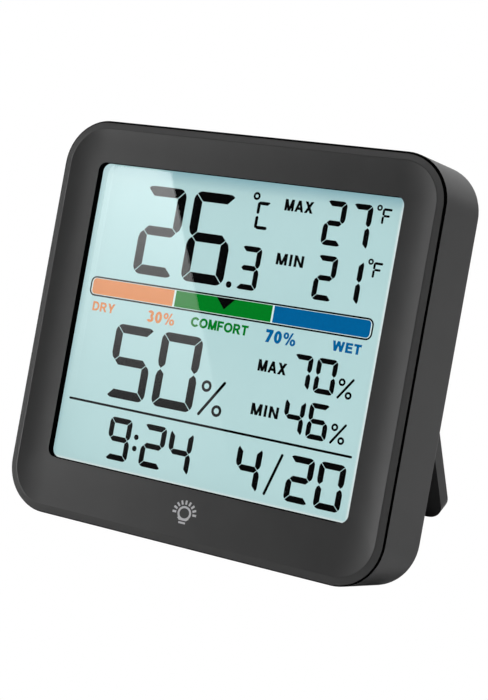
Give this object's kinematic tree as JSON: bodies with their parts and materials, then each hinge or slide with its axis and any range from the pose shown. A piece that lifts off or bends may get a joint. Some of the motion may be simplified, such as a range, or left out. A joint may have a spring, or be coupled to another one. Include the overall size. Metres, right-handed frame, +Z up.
{
  "type": "temperature humidity sensor",
  "caption": "Square table-top temperature and humidity monitor with a large figure display in a dished black frame, leaning back on a fold-out stand.",
  "frame": {"origin": "middle of the footprint, on the floor that the rubber feet and the end of the stand share", "axes": "+Z up, -Y the way the leaning display faces, +X to the right as one looks at the display; stored with the stand open"},
  "size_m": [0.11, 0.0696, 0.1029],
  "materials": {
    "bezel_black": "satin",
    "shell_black": "fine grain",
    "stand_black": "fine grain",
    "lens_clear": "polished clear",
    "lcd_face": "polished, pale blue-green",
    "holder_white": "satin",
    "guide_clear": "polished clear",
    "film_white": "satin film",
    "led_white": "satin",
    "strip_grey": "matte",
    "board_green": "solder mask",
    "chip_black": "domed resin",
    "crystal_metal": "drawn can",
    "part_ceramic": "ceramic",
    "spring_steel": "plain",
    "sensor_white": "moulded",
    "pin_gold": "bright",
    "switch_black": "moulded",
    "door_black": "fine grain",
    "cell_jacket": "printed sleeve",
    "contact_nickel": "nickel plate",
    "foot_rubber": "matte",
    "screw_steel": "zinc plate",
    "button_black": "matte"
  },
  "bodies": {
    "housing": {"front_bezel": "bezel_black", "rear_shell": "shell_black", "display_lens": "lens_clear", "lcd_glass": "lcd_face", "display_holder": "holder_white", "light_guide": "guide_clear", "reflector_sheet": "film_white", "backlight_leds": "led_white", "contact_strips": "strip_grey", "main_board": "board_green", "controller_chip": "chip_black", "clock_crystal": "crystal_metal", "board_components": "part_ceramic", "touch_spring": "spring_steel", "sensor_board": "board_green", "humidity_sensor": "sensor_white", "sensor_pins": "pin_gold", "key_switches": "switch_black", "battery_upper": "cell_jacket", "battery_lower": "cell_jacket", "battery_plates": "contact_nickel", "battery_springs": "spring_steel", "rubber_feet": "foot_rubber", "housing_screws": "screw_steel", "board_screws": "screw_steel"},
    "stand": {"stand_frame": "stand_black"},
    "door": {"battery_door": "door_black"},
    "mode_key": {"mode_button": "button_black"},
    "up_key": {"up_button": "button_black"},
    "down_key": {"down_button": "button_black"},
    "unit_key": {"unit_button": "button_black"}
  },
  "joints": [
    {"name": "stand_hinge", "type": "hinge", "parent": "housing", "child": "stand", "pos_m": [0, 0.00866, 0.07861], "axis": [1, 0, 0], "range_deg": [-36.4, 0]},
    {"name": "door_slide", "type": "slide", "parent": "housing", "child": "door", "axis": [0, -0.3289, -0.9444], "range_m": [0, 0.008]},
    {"name": "mode_press", "type": "slide", "parent": "housing", "child": "mode_key", "axis": [0, -0.9444, 0.3289], "range_m": [0, 0.0005], "stiffness_N_per_m": 800},
    {"name": "up_press", "type": "slide", "parent": "housing", "child": "up_key", "axis": [0, -0.9444, 0.3289], "range_m": [0, 0.0005], "stiffness_N_per_m": 800},
    {"name": "down_press", "type": "slide", "parent": "housing", "child": "down_key", "axis": [0, -0.9444, 0.3289], "range_m": [0, 0.0005], "stiffness_N_per_m": 800},
    {"name": "unit_press", "type": "slide", "parent": "housing", "child": "unit_key", "axis": [0, -0.9444, 0.3289], "range_m": [0, 0.0005], "stiffness_N_per_m": 800}
  ]
}
